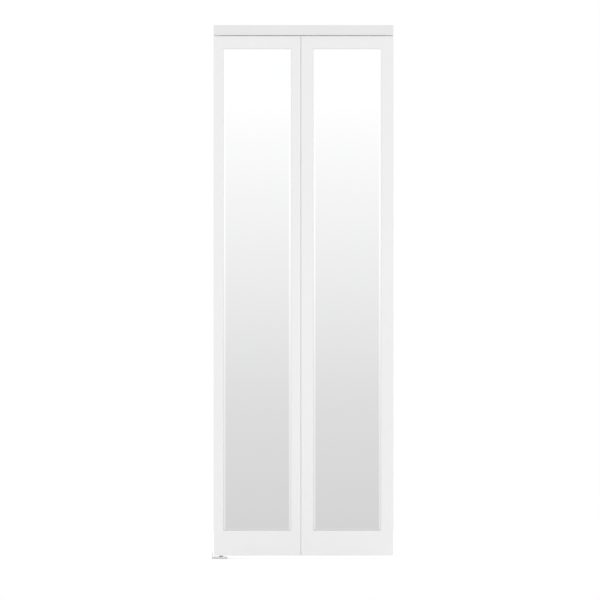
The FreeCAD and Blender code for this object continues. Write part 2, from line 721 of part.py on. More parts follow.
def bottom_pivot_pin():
    """The pin whose hexagonal tip locks in the bracket's teeth and whose collar rests on the rib."""
    shank = cylinder(BOTTOM_PIN_RADIUS, 0, 0, BOTTOM_COLLAR_TOP_Z, BOTTOM_PIN_TOP_Z)
    collar = hexagon(BOTTOM_PIN_COLLAR_ACROSS_FLATS, 0, RIB_TOP_Z, BOTTOM_COLLAR_TOP_Z)
    tip_flats = TOOTH_ACROSS_FLATS - 2 * SEAT_FIT
    tip = hexagon(tip_flats, 0, RIB_TOP_Z - BOTTOM_PIN_TIP_LENGTH, RIB_TOP_Z)
    return shank.fuse([collar, tip])


def bottom_pivot_nut():
    """The nut under the leaf that sets its height and carries its weight."""
    nut = hexagon(NUT_ACROSS_FLATS, 0, NUT_BOTTOM_Z, NUT_TOP_Z)
    return nut.cut(cylinder(BOTTOM_PIN_RADIUS + SEAT_FIT, 0, 0, NUT_BOTTOM_Z - 1, NUT_TOP_Z + 1))


def bottom_pivot_sleeve():
    """The plastic sleeve in the bottom of the jamb leaf that turns on the pin."""
    end_z = LEAF_BOTTOM_Z + BOTTOM_SLEEVE_LENGTH
    barrel = prism(SLEEVE_SIDES, SLEEVE_RADIUS, 0, 0, LEAF_BOTTOM_Z, end_z)
    flange = hexagon(SLEEVE_FLANGE_ACROSS_FLATS, 0, NUT_TOP_Z, LEAF_BOTTOM_Z)
    bore = cylinder(BOTTOM_PIN_RADIUS + RUNNING_FIT, 0, 0, NUT_TOP_Z - 1, end_z - SLEEVE_END_WALL)
    return barrel.fuse(flange).cut(bore)


# ---------------------------------------------------------------- hinges

def knuckle_spans(centre_z, first):
    """The (low, high) z of every second knuckle, counted from the one named first."""
    pitch = HINGE_HEIGHT / HINGE_KNUCKLES
    bottom_z = centre_z - HINGE_HEIGHT / 2
    for n in range(first, HINGE_KNUCKLES, 2):
        low = bottom_z + pitch * n + (KNUCKLE_END_GAP / 2 if n > 0 else 0)
        high = bottom_z + pitch * (n + 1) - (KNUCKLE_END_GAP / 2 if n < HINGE_KNUCKLES - 1 else 0)
        yield low, high


def hinge_plate(centre_z, first_knuckle):
    """One plate of a hinge on the jamb leaf's side, rolled round the pin at its own knuckles.

    The knuckles have KNUCKLE_SIDES narrow flats inside and out, because there are many of them.
    """
    relief_x = SEAM_X - KNUCKLE_RADIUS - KNUCKLE_RELIEF_GAP
    outer_x = SEAM_X - HINGE_PLATE_WIDTH
    z_range = (centre_z - HINGE_HEIGHT / 2, centre_z + HINGE_HEIGHT / 2)
    plate = box((outer_x, relief_x), (BACK_Y, HINGE_FACE_Y), z_range)
    plate = round_edges(
        plate,
        HINGE_CORNER_RADIUS,
        lambda edge: runs_along(edge, V(0, 1, 0)) and edge.CenterOfMass.x < outer_x + 1e-6,
    )
    added = []
    for low, high in knuckle_spans(centre_z, first_knuckle):
        added.append(box((relief_x, SEAM_X), (BACK_Y, HINGE_FACE_Y), (low, high)))
        added.append(prism(KNUCKLE_SIDES, KNUCKLE_RADIUS, SEAM_X, HINGE_Y, low, high))
    plate = plate.fuse(added).removeSplitter()
    bore_radius = (HINGE_PIN_RADIUS + RUNNING_FIT) / math.cos(math.pi / KNUCKLE_SIDES)
    pin_bore = prism(KNUCKLE_SIDES, bore_radius, SEAM_X, HINGE_Y, z_range[0] - 1, z_range[1] + 1)
    return plate.cut([pin_bore] + [screw_sink(x, z) for x, z in hinge_screw_places()])


def screw_sink(x, z):
    """The countersunk hole for one hinge screw, larger than the screw by its fit."""
    profile = [
        (SCREW_SHANK_RADIUS + SCREW_FIT, BACK_Y),
        (SCREW_HEAD_RADIUS + SCREW_FIT, HINGE_FACE_Y),
    ]
    return facetted_along_y(profile, x, z)


def hinge_pin(centre_z):
    """The plain pin of one hinge, flush with the ends of the knuckles."""
    return cylinder(
        HINGE_PIN_RADIUS, SEAM_X, HINGE_Y, centre_z - HINGE_HEIGHT / 2, centre_z + HINGE_HEIGHT / 2
    )


def hinge_screws():
    """The countersunk screws of one leaf as a group of separate solids."""
    tip_y = HINGE_FACE_Y - SCREW_LENGTH
    profile = [
        (SCREW_TIP_RADIUS, tip_y),
        (SCREW_SHANK_RADIUS, tip_y + SCREW_TIP_LENGTH),
        (SCREW_SHANK_RADIUS, BACK_Y),
        (SCREW_HEAD_RADIUS, HINGE_FACE_Y),
    ]
    return Part.makeCompound([facetted_along_y(profile, x, z) for x, z in hinge_screw_places()])


# ---------------------------------------------------------------- write every sub-part

def main():
    os.makedirs("parts", exist_ok=True)

    for name, piece in leaf_pieces(JAMB_LEAF).items():
        export(f"jamb_leaf_{name}", piece)
    for name, piece in leaf_pieces(LEAD_LEAF).items():
        export(f"lead_leaf_{name}", at_lead_leaf(piece))

    export("track", track())
    export("track_stop", track_stop())
    export("top_bracket", top_bracket())
    export("top_bracket_lock_screw", top_bracket_lock_screw())

    export("top_pivot_sleeve", plunger_sleeve(0))
    export("top_pivot_spring", plunger_spring(0))
    export("top_pivot_pin", top_pivot_pin())
    export("guide_sleeve", plunger_sleeve(GUIDE_X))
    export("guide_spring", plunger_spring(GUIDE_X))
    export("guide_pin", guide_pin())
    export("guide_wheel", guide_wheel())

    export("jamb_bracket", jamb_bracket())
    export("bottom_pivot_pin", bottom_pivot_pin())
    export("bottom_pivot_nut", bottom_pivot_nut())
    export("bottom_pivot_sleeve", bottom_pivot_sleeve())

    for name, centre_z in HINGE_CENTRES_Z.items():
        export(f"{name}_hinge_jamb_plate", hinge_plate(centre_z, 0))
        export(f"{name}_hinge_lead_plate", at_lead_leaf(hinge_plate(centre_z, 1)))
        export(f"{name}_hinge_pin", hinge_pin(centre_z))
    export("jamb_leaf_hinge_screws", hinge_screws())
    export("lead_leaf_hinge_screws", at_lead_leaf(hinge_screws()))


main()
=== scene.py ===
"""Finishes the bifold closet door: materials, fine hardware, a plain studio and the camera."""

import json
import logging
import math
from collections.abc import Callable, Mapping, Sequence
from dataclasses import dataclass
from enum import Enum, IntEnum
from functools import cache
from typing import Any, ClassVar

import bmesh
import bpy
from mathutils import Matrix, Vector

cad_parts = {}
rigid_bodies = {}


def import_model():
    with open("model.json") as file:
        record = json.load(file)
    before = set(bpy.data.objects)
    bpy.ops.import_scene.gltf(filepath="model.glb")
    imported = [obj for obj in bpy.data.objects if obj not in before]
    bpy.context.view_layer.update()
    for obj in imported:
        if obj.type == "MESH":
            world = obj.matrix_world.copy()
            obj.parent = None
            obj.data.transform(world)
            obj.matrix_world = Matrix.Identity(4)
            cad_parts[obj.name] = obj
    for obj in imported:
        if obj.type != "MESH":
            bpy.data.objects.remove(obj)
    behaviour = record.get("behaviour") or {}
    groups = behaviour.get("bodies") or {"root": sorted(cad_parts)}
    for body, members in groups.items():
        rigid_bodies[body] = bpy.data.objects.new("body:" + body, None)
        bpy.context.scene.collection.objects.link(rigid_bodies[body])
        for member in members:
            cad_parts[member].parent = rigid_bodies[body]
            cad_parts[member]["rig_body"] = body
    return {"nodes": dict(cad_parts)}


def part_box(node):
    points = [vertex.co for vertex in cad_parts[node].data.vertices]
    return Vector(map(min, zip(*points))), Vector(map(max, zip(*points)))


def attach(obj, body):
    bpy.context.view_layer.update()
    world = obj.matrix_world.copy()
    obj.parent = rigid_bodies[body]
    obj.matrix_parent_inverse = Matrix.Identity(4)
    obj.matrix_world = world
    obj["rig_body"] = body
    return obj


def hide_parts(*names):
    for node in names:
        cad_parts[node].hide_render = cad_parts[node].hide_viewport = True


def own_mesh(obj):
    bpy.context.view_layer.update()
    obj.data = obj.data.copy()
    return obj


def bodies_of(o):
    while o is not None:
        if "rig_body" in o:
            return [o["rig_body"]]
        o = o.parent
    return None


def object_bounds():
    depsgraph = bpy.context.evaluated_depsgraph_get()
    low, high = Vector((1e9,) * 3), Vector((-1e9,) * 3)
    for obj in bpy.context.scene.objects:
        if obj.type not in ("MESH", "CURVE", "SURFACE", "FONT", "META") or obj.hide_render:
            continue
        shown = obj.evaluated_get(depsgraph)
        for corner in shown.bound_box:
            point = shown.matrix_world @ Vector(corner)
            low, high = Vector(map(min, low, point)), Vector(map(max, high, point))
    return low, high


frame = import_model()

LOG = logging.getLogger("bifold_door")
CAD_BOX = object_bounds()
NODES: dict[str, bpy.types.Object] = frame["nodes"]

Colour = tuple[float, float, float]
Point = tuple[float, float]
Span = tuple[float, float]
Material = bpy.types.Material
Mesh = bpy.types.Mesh
Piece = bpy.types.Object
Socket = bpy.types.NodeSocket

MM = 0.001
QUARTER_TURN = math.pi / 2
SHARP_ANGLE = math.radians(32)
WHOLE: Span = (0.0, 1.0)
NOISE_SPAN: Span = (0.3, 0.7)
LEAF_WHITE: Colour = (0.84, 0.842, 0.84)
SAME_POINT = 0.0001 * MM


class Axis(IntEnum):
    """The axes, by their place in a vector."""

    X = 0
    Y = 1
    Z = 2


class LeafSide(Enum):
    """The two leaves, by the prefix of their nodes."""

    JAMB = "jamb_leaf"
    LEAD = "lead_leaf"


class HingePlace(Enum):
    """The three hinges of the seam, by the prefix of their nodes."""

    BOTTOM = "bottom_hinge"
    MIDDLE = "middle_hinge"
    TOP = "top_hinge"


class PlungerPlace(Enum):
    """The two sprung plungers, by the prefix of their nodes."""

    TOP_PIVOT = "top_pivot"
    GUIDE = "guide"


class Grain(Enum):
    """The way a timber's grain runs, as the stretch of its pattern on each axis."""

    UPRIGHT = (1.0, 1.0, 0.05)
    LEVEL = (0.05, 1.0, 1.0)


# ---- node trees

class NodeSketch:
    """Adds and joins the nodes of one tree with short calls."""

    def __init__(self, tree: bpy.types.NodeTree) -> None:
        """Keeps the tree that the nodes go into, and empties it."""
        self.tree = tree
        tree.nodes.clear()

    def add(
        self, kind: str, inputs: Mapping[str | int, Any] | None = None, **settings: Any
    ) -> bpy.types.Node:
        """Adds one node.

        Args:
            kind: Blender's class name of the node.
            inputs: A value, another node's output or a list of outputs for each input that is set.
            settings: Values of the node's own properties.

        Returns:
            The new node.
        """
        node = self.tree.nodes.new(kind)
        for name, value in settings.items():
            setattr(node, name, value)
        for key, value in (inputs or {}).items():
            for part in value if isinstance(value, list) else [value]:
                if isinstance(part, Socket):
                    self.tree.links.new(part, node.inputs[key])
                else:
                    node.inputs[key].default_value = part
        return node

    def math(self, operation: str, first: Any, second: Any = 0.0) -> Socket:
        """The result of one sum, such as ADD or MULTIPLY, of two values or outputs."""
        node = self.add("ShaderNodeMath", {0: first, 1: second}, operation=operation)
        return node.outputs[0]

    def spread(self, value: Any, source: Span, target: Span) -> Socket:
        """The value moved from the source range to the target range, held at its ends."""
        ends = zip(("From Min", "From Max", "To Min", "To Max"), (*source, *target))
        return self.add("ShaderNodeMapRange", {"Value": value, **dict(ends)}).outputs[0]

    def either(self, factor: Any, plain: Socket, special: Socket) -> Socket:
        """One shader where the factor is nought, and the other where it is one."""
        return self.add("ShaderNodeMixShader", {0: factor, 1: plain, 2: special}).outputs[0]

    def straight_curve(self, value: Any, points: Sequence[Point]) -> Socket:
        """A value led through a curve of straight runs.

        Args:
            value: The value, from 0 to 1.
            points: The curve's points from its start to its end.

        Returns:
            The curve's height at the value.
        """
        node = self.add("ShaderNodeFloatCurve", {"Value": value})
        curve = node.mapping.curves[0]
        curve.points[0].location, curve.points[1].location = points[0], points[-1]
        for place in points[1:-1]:
            curve.points.new(*place)
        for point in curve.points:
            point.handle_type = "VECTOR"
        node.mapping.update()
        return node.outputs[0]


class SurfaceSketch(NodeSketch):
    """A new material with one Principled shader, and the patterns that feed it."""

    MIX_COLOURS: ClassVar[tuple[int, int]] = (6, 7)
    MIXED_COLOUR: ClassVar[int] = 2

    def __init__(self, name: str) -> None:
        """Makes the material, and takes a piece's place and normal to draw its patterns on.

        Args:
            name: The material's name.
        """
        self.material = bpy.data.materials.new(name)
        self.material.use_nodes = True
        super().__init__(self.material.node_tree)
        where = self.add("ShaderNodeTexCoord")
        self.place, self.normal = where.outputs["Object"], where.outputs["Normal"]

    def noise(self, scale: float, detail: int = 2, stretch: Sequence[float] = (1, 1, 1)) -> Socket:
        """Noise on object coordinates.

        Args:
            scale: Blotches to a metre.
            detail: How many finer layers are added.
            stretch: How much the pattern is scaled on each axis; a small value draws it out.

        Returns:
            The noise, from 0 to 1, with nearly all of it in NOISE_SPAN.
        """
        drawn = self.add("ShaderNodeMapping", {"Vector": self.place, "Scale": stretch})
        sizes = {"Vector": drawn.outputs[0], "Scale": scale, "Detail": detail}
        return self.add("ShaderNodeTexNoise", sizes).outputs[0]

    def clouds(self, scale: float, target: Span = WHOLE) -> Socket:
        """Noise of the given scale that fills the whole target range."""
        return self.spread(self.noise(scale), NOISE_SPAN, target)

    def blend(self, factor: Any, low: Any, high: Any) -> Socket:
        """A colour between two others.

        Args:
            factor: How far it goes from low to high, from 0 to 1.
            low, high: Two colours or outputs.

        Returns:
            The colour.
        """
        ends = {
            socket: colour if isinstance(colour, Socket) else (*colour, 1)
            for socket, colour in zip(self.MIX_COLOURS, (low, high))
        }
        node = self.add("ShaderNodeMix", {"Factor": factor, **ends}, data_type="RGBA")
        return node.outputs[self.MIXED_COLOUR]

    def slope(self, axis: Axis) -> Socket:
        """How far the surface faces along an axis of the piece, from -1 to 1."""
        return self.add("ShaderNodeSeparateXYZ", {0: self.normal}).outputs[axis]

    def facing(self, axis: Axis, least: float) -> Socket:
        """One where the surface faces along an axis, either way, and nought elsewhere."""
        return self.math("GREATER_THAN", self.math("ABSOLUTE", self.slope(axis)), least)

    def bump(self, height: Any, depth: float, strength: float) -> Socket:
        """A normal that follows the height, which stands for depth metres."""
        relief = {"Height": height, "Distance": depth, "Strength": strength}
        return self.add("ShaderNodeBump", relief).outputs[0]

    def shade(self, **inputs: Any) -> Material:
        """Ends the material with its shader.

        Args:
            inputs: What goes into each of the shader's inputs, named with _ for a space.

        Returns:
            The material.
        """
        named = {name.replace("_", " "): value for name, value in inputs.items()}
        shader = self.add("ShaderNodeBsdfPrincipled", named)
        self.add("ShaderNodeOutputMaterial", {"Surface": shader.outputs[0]})
        return self.material


def toned(colour: Colour, factor: float) -> Colour:
    """A colour made darker or lighter by a factor."""
    return tuple(part * factor for part in colour)


# ---- finishes

@dataclass(frozen=True)
class Finish:
    """What all finishes share, with one material that is made once.

    The slot is the record's name for it but is not used here, and worked is what the name of a piece
    ends in.
    """

    name: str
    slot: str = ""
    worked: str = ""

    @cache
    def material(self) -> Material:
        """The finish's material, which is made once and shared by its pieces."""
        return self.sketch()

    def sketch(self) -> Material:
        """Builds the nodes. Each kind of finish has its own.

        Returns:
            The material.
        """
        raise NotImplementedError


@dataclass(frozen=True)
class BoardPaint(Finish):
    """Sprayed satin paint on hardboard, with the brown board bare on the sawn upper end."""

    upper_end: float = 2.0
    end_depth: float = 0.5 * MM
    end_level: float = 0.93
    paint: Colour = LEAF_WHITE
    fading: float = 0.985
    fading_scale: float = 2.3
    board: Colour = (0.19, 0.105, 0.05)
    fibre_tone: float = 1.6
    fibre_scale: float = 1500.0
    roughness: Span = (0.36, 0.46)
    board_roughness: float = 0.8
    gloss_scale: float = 30.0
    peel_scale: float = 520.0
    sag_scale: float = 110.0
    sag_share: float = 0.6
    relief: float = 0.05 * MM

    def sketch(self) -> Material:
        """Paint with a faint orange peel, and fibres on the bare edges.

        Returns:
            The material.
        """
        coat = SurfaceSketch(self.name)
        faded = toned(self.paint, self.fading)
        paint = coat.blend(coat.clouds(self.fading_scale), faded, self.paint)
        fibres = coat.noise(self.fibre_scale, detail=3, stretch=(1, 1, 0.2))
        board = coat.blend(fibres, self.board, toned(self.board, self.fibre_tone))
        height = coat.add("ShaderNodeSeparateXYZ", {0: coat.place}).outputs[Axis.Z]
        at_end = coat.math("GREATER_THAN", height, self.upper_end - self.end_depth)
        bare = coat.math("MULTIPLY", coat.facing(Axis.Z, self.end_level), at_end)
        gloss = coat.clouds(self.gloss_scale, self.roughness)
        dull = coat.math("MULTIPLY", bare, self.board_roughness)
        sags = coat.math("MULTIPLY", coat.noise(self.sag_scale), self.sag_share)
        peel = coat.math("ADD", coat.noise(self.peel_scale, detail=1), sags)
        return coat.shade(
            Base_Color=coat.blend(bare, paint, board),
            Roughness=coat.math("MAXIMUM", gloss, dull),
            Normal=coat.bump(peel, self.relief, strength=0.5),
        )


@dataclass(frozen=True)
class Timber(Finish):
    """Softwood, painted all round on a leaf but left bare where it looks up."""

    grain: Grain = Grain.UPRIGHT
    early: Colour = (0.66, 0.47, 0.27)
    late: Colour = (0.47, 0.27, 0.12)
    paint: Colour = LEAF_WHITE
    late_wood: Span = (0.2, 0.9)
    ring_scale: float = 42.0
    ring_waver: float = 7.0
    pores: Span = (0.55, 0.75)
    pore_scale: float = 900.0
    pore_tone: float = 0.35
    paint_and_wood_roughness: Span = (0.42, 0.72)
    least_upward: float = 0.5
    relief: float = 0.06 * MM

    def sketch(self) -> Material:
        """Drawn-out growth rings and fine pores, under paint but on the faces that look up.

        Returns:
            The material.
        """
        coat = SurfaceSketch(self.name)
        drawn = coat.add("ShaderNodeMapping", {"Vector": coat.place, "Scale": self.grain.value})
        sizes = {
            "Vector": drawn.outputs[0],
            "Scale": self.ring_scale,
            "Distortion": self.ring_waver,
            "Detail": 3,
            "Detail Scale": 1.6,
        }
        rings = coat.add("ShaderNodeTexWave", sizes, wave_type="RINGS").outputs[0]
        pores = coat.noise(self.pore_scale, stretch=self.grain.value)
        wood = coat.blend(coat.spread(rings, self.late_wood, WHOLE), self.early, self.late)
        wood = coat.blend(coat.spread(pores, self.pores, (0, self.pore_tone)), wood, self.late)
        bare = coat.math("GREATER_THAN", coat.slope(Axis.Z), self.least_upward)
        return coat.shade(
            Base_Color=coat.blend(bare, self.paint, wood),
            Roughness=coat.spread(bare, WHOLE, self.paint_and_wood_roughness),
            Normal=coat.bump(coat.math("ADD", rings, pores), self.relief, strength=0.5),
        )


@dataclass(frozen=True)
class ParticleBoard(Finish):
    """Pressed wood chips."""

    pale: Colour = (0.62, 0.47, 0.29)
    dark: Colour = (0.33, 0.21, 0.11)
    chips_per_metre: float = 340.0
    roughness: float = 0.85
    relief: float = 0.15 * MM

    def sketch(self) -> Material:
        """Chips as cells of differing tone.

        Returns:
            The material.
        """
        coat = SurfaceSketch(self.name)
        chips = coat.add("ShaderNodeTexVoronoi", {"Vector": coat.place, "Scale": self.chips_per_metre})
        tone = coat.add("ShaderNodeSeparateColor", {0: chips.outputs["Color"]})
        return coat.shade(
            Base_Color=coat.blend(tone.outputs[0], self.dark, self.pale),
            Roughness=self.roughness,
            Normal=coat.bump(chips.outputs["Distance"], self.relief, strength=0.6),
        )


@dataclass(frozen=True)
class SilveredGlass(Finish):
    """Mirror glass: silver seen through a clear face, and the green of the glass at its edges."""

    MIX_VECTORS: ClassVar[tuple[int, int]] = (4, 5)
    MIXED_VECTOR: ClassVar[int] = 1

    silver: Colour = (0.965, 0.972, 0.968)
    edge: Colour = (0.12, 0.24, 0.19)
    edge_roughness: float = 0.35
    least_forward: float = 0.5
    smears: Span = (0.45, 0.8)
    smear_scale: float = 5.0
    smear_roughness: float = 0.012
    bending: float = 0.52

    def sketch(self) -> Material:
        """A clean reflection on the face, bent a little at the bevel, and dull green edges.

        Returns:
            The material.
        """
        coat = SurfaceSketch(self.name)
        face = coat.facing(Axis.Y, self.least_forward)
        smeared = coat.noise(self.smear_scale, detail=3, stretch=(1, 1, 0.5))
        smear = coat.spread(smeared, self.smears, (0, self.smear_roughness))
        ground = coat.spread(face, WHOLE, (self.edge_roughness, 0))
        return coat.shade(
            Base_Color=coat.blend(face, self.edge, self.silver),
            Metallic=face,
            Roughness=coat.math("MAXIMUM", smear, ground),
            Normal=self.bent_normal(coat, face),
        )

    def bent_normal(self, coat: SurfaceSketch, face: Socket) -> Socket:
        """The normal that gives a bevel the reflection of flat silver behind a sloping face.

        Args:
            coat: The material's sketch.
            face: One on the front and its bevels, and nought on the ground edges.

        Returns:
            The normal in world space.
        """
        straight = coat.math("MULTIPLY", face, 1.0 - self.bending)
        ends = dict(zip(self.MIX_VECTORS, (coat.normal, (0.0, -1.0, 0.0))))
        mixed = coat.add("ShaderNodeMix", {0: straight, **ends}, data_type="VECTOR")
        turned = coat.add(
            "ShaderNodeVectorTransform",
            {0: mixed.outputs[self.MIXED_VECTOR]},
            vector_type="NORMAL",
            convert_from="OBJECT",
            convert_to="WORLD",
        )
        return turned.outputs[0]


@dataclass(frozen=True)
class Enamel(Finish):
    """Baked semi-gloss enamel on a metal section."""

    colour: Colour = (0.79, 0.792, 0.79)
    fading: float = 0.985
    fading_scale: float = 3.1
    roughness: Span = (0.34, 0.42)
    gloss_scale: float = 60.0
    lines_per_metre: float = 330.0
    relief: float = 0.012 * MM

    def sketch(self) -> Material:
        """Smooth paint over faint drawing lines along the section.

        Returns:
            The material.
        """
        coat = SurfaceSketch(self.name)
        faded = toned(self.colour, self.fading)
        lines = coat.noise(self.lines_per_metre, detail=1, stretch=(0.03, 1, 1))
        return coat.shade(
            Base_Color=coat.blend(coat.clouds(self.fading_scale), faded, self.colour),
            Roughness=coat.clouds(self.gloss_scale, self.roughness),
            Normal=coat.bump(lines, self.relief, strength=0.15),
        )


@dataclass(frozen=True)
class PlatedSteel(Finish):
    """Zinc or nickel plate on steel, with cells or brushed lines in it."""

    colour: Colour = (0.7, 0.71, 0.73)
    shading: float = 0.72
    roughness: Span = (0.24, 0.4)
    pattern_scale: float = 260.0
    pattern_tone: Span = (0.35, 1.0)
    stretch: tuple[float, float, float] = (1.0, 1.0, 1.0)
    stains: Span = (0.3, 0.6)
    stain_scale: float = 45.0
    stain_tone: Span = (0.6, 1.0)
    relief: float = 0.02 * MM

    def sketch(self) -> Material:
        """Uneven tone and gloss over a fine relief.

        Returns:
            The material.
        """
        coat = SurfaceSketch(self.name)
        pattern = coat.noise(self.pattern_scale, detail=3, stretch=self.stretch)
        cells = coat.spread(pattern, NOISE_SPAN, self.pattern_tone)
        stains = coat.noise(self.stain_scale, detail=4)
        tone = coat.math("MULTIPLY", cells, coat.spread(stains, self.stains, self.stain_tone))
        return coat.shade(
            Base_Color=coat.blend(tone, toned(self.colour, self.shading), self.colour),
            Metallic=1.0,
            Roughness=coat.spread(pattern, NOISE_SPAN, self.roughness),
            Normal=coat.bump(pattern, self.relief, strength=0.5),
        )


@dataclass(frozen=True)
class SpangledSheet(Finish):
    """Galvanised sheet with its crystal spangle."""

    pale: Colour = (0.84, 0.85, 0.86)
    dark: Colour = (0.66, 0.67, 0.69)
    spangles_per_metre: float = 190.0
    dulling: Span = (0.55, 1.0)
    dulling_scale: float = 90.0
    roughness: Span = (0.27, 0.46)
    grain_scale: float = 800.0
    relief: float = 0.02 * MM

    def sketch(self) -> Material:
        """Crystals of differing tone and gloss, dulled by handling.

        Returns:
            The material.
        """
        coat = SurfaceSketch(self.name)
        sizes = {"Vector": coat.place, "Scale": self.spangles_per_metre}
        cells = coat.add("ShaderNodeTexVoronoi", sizes).outputs["Color"]
        tone = coat.add("ShaderNodeSeparateColor", {0: cells})
        dulled = coat.math("MULTIPLY", tone.outputs[0], coat.clouds(self.dulling_scale, self.dulling))
        height = coat.math("ADD", coat.noise(self.grain_scale), tone.outputs[0])
        return coat.shade(
            Base_Color=coat.blend(dulled, self.dark, self.pale),
            Metallic=1.0,
            Roughness=coat.spread(tone.outputs[1], WHOLE, self.roughness),
            Normal=coat.bump(height, self.relief, strength=0.4),
        )


@dataclass(frozen=True)
class Moulding(Finish):
    """Moulded nylon, foam or rubber with a fine surface grain."""

    colour: Colour = (0.8, 0.79, 0.75)
    clouding: float = 0.9
    cloud_scale: float = 70.0
    roughness: Span = (0.38, 0.5)
    gloss_scale: float = 210.0
    grain_scale: float = 1400.0
    relief: float = 0.02 * MM

    def sketch(self) -> Material:
        """Even colour with slight clouding and grain.

        Returns:
            The material.
        """
        coat = SurfaceSketch(self.name)
        deep = toned(self.colour, self.clouding)
        return coat.shade(
            Base_Color=coat.blend(coat.clouds(self.cloud_scale), deep, self.colour),
            Roughness=coat.clouds(self.gloss_scale, self.roughness),
            Normal=coat.bump(coat.noise(self.grain_scale), self.relief, strength=0.6),
        )


SKIN_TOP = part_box("jamb_leaf_front_skin")[1].z
LEAF_PAINT = BoardPaint("leaf_paint", "painted_board", "painted", upper_end=SKIN_TOP)
STILE_WOOD = Timber("stile_wood")
RAIL_WOOD = Timber("rail_wood", grain=Grain.LEVEL)
CHIP_CORE = ParticleBoard("chip_core")
MIRROR_GLASS = SilveredGlass("mirror_glass")
TRACK_ENAMEL = Enamel("track_enamel", "painted_track", "enamelled")
BRIGHT_ZINC = PlatedSteel("bright_zinc", "zinc_steel", "plated")
HINGE_NICKEL = PlatedSteel(
    "hinge_nickel", "hinge_plating", "rolled", colour=(0.74, 0.72, 0.69), roughness=(0.28, 0.42),
    pattern_scale=1500.0, stretch=(1.0, 1.0, 0.02),
)
SPRING_WIRE = PlatedSteel(
    "spring_wire", "spring_steel", "wound", colour=(0.42, 0.42, 0.43), pattern_scale=900.0
)
PRESSED_SHEET = SpangledSheet("pressed_sheet", "galvanised_sheet", "pressed")
SLEEVE_NYLON = Moulding("sleeve_nylon", "sleeve_nylon", "moulded")
WHEEL_NYLON = Moulding(
    "wheel_nylon", "wheel_nylon", "turned", colour=(0.86, 0.86, 0.84), roughness=(0.3, 0.42)
)
BUFFER_RUBBER = Moulding(
    "buffer_rubber", "black_rubber", "moulded", colour=(0.028, 0.028, 0.03),
    roughness=(0.6, 0.75), relief=0.05 * MM,
)
FOAM = Moulding(
    "foam", colour=(0.8, 0.8, 0.78), roughness=(0.85, 0.95), grain_scale=700.0, relief=0.2 * MM
)


# ---- pieces

def body_of(node_name: str) -> str:
    """The body that a CAD node rides on."""
    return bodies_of(NODES[node_name])[0]


def foot_of(node_name: str) -> Vector:
    """The middle of a CAD node's lower end."""
    low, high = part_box(node_name)
    return Vector(((low.x + high.x) / 2, (low.y + high.y) / 2, low.z))


def dress(node_name: str, finish: Finish) -> None:
    """Gives a CAD node, which stays as it is, its finish.

    Args:
        node_name: The node.
        finish: Its finish.
    """
    for slot in NODES[node_name].material_slots:
        slot.material = finish.material()
    LOG.info("%s is finished in %s", node_name, finish.name)


def new_piece(name: str, mesh: Mesh, finish: Finish) -> Piece:
    """Links a finished mesh as a piece at the origin.

    Args:
        name: The piece's name.
        mesh: Its mesh, in place.
        finish: Its finish.

    Returns:
        The new object.
    """
    mesh.name = name
    mesh.materials.clear()
    mesh.materials.append(finish.material())
    piece = bpy.data.objects.new(name, mesh)
    bpy.context.scene.collection.objects.link(piece)
    return piece


def stand_in(piece: Piece, node_name: str) -> None:
    """Puts a piece in the place of a CAD node, on the same body.

    Args:
        piece: The finer piece.
        node_name: The node that it stands for.
    """
    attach(piece, body_of(node_name))
    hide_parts(node_name)
    LOG.info("%s stands for %s", piece.name, node_name)


@dataclass(frozen=True)
class EdgeSoftener:
    """Turns the sharp edges of a rigid form into small rounded ones that catch the light."""

    width: float
    segments: int = 3
    flat_within: float = math.radians(0.6)
    weld: float = 0.0005 * MM

    def apply(
        self, node_name: str, finish: Finish, shows: Callable[[Vector], bool] = lambda place: True
    ) -> Piece:
        """Makes a welded copy of a CAD node with softened edges, in the node's place.

        Args:
            node_name: The node that is copied.
            finish: Its finish.
            shows: Whether an edge with its middle at the given place is softened.

        Returns:
            The copy.
        """
        form = bmesh.new()
        form.from_mesh(NODES[node_name].data)
        bmesh.ops.remove_doubles(form, verts=form.verts, dist=self.weld)
        bmesh.ops.dissolve_limit(
            form, angle_limit=self.flat_within, verts=form.verts, edges=form.edges
        )
        softened = form.edges.layers.float.new("bevel_weight_edge")
        for edge in form.edges:
            middle = (edge.verts[0].co + edge.verts[1].co) / 2
            if edge.calc_face_angle(0.0) > SHARP_ANGLE and shows(middle):
                edge[softened] = 1.0
        piece = new_piece(f"{node_name}_{finish.worked}", smooth_mesh(form), finish)
        bevel = piece.modifiers.new("softened_edges", "BEVEL")
        bevel.width = self.width
        bevel.segments = self.segments
        bevel.limit_method = "WEIGHT"
        bevel.harden_normals = True
        stand_in(piece, node_name)
        return piece


def smooth_mesh(form: bmesh.types.BMesh) -> Mesh:
    """Ends a form as a mesh that is smooth but for its sharp edges.

    Args:
        form: The form, which is freed.

    Returns:
        The mesh.
    """
    mesh = bpy.data.meshes.new("form")
    form.to_mesh(mesh)
    form.free()
    mesh.shade_smooth()
    mesh.set_sharp_from_angle(angle=SHARP_ANGLE)
    return mesh


def quarter_arc(steps: int) -> list[Point]:
    """The cosine and sine of evenly spaced angles from nought to a quarter turn."""
    turns = [QUARTER_TURN * step / steps for step in range(steps + 1)]
    return [(math.cos(turn), math.sin(turn)) for turn in turns]


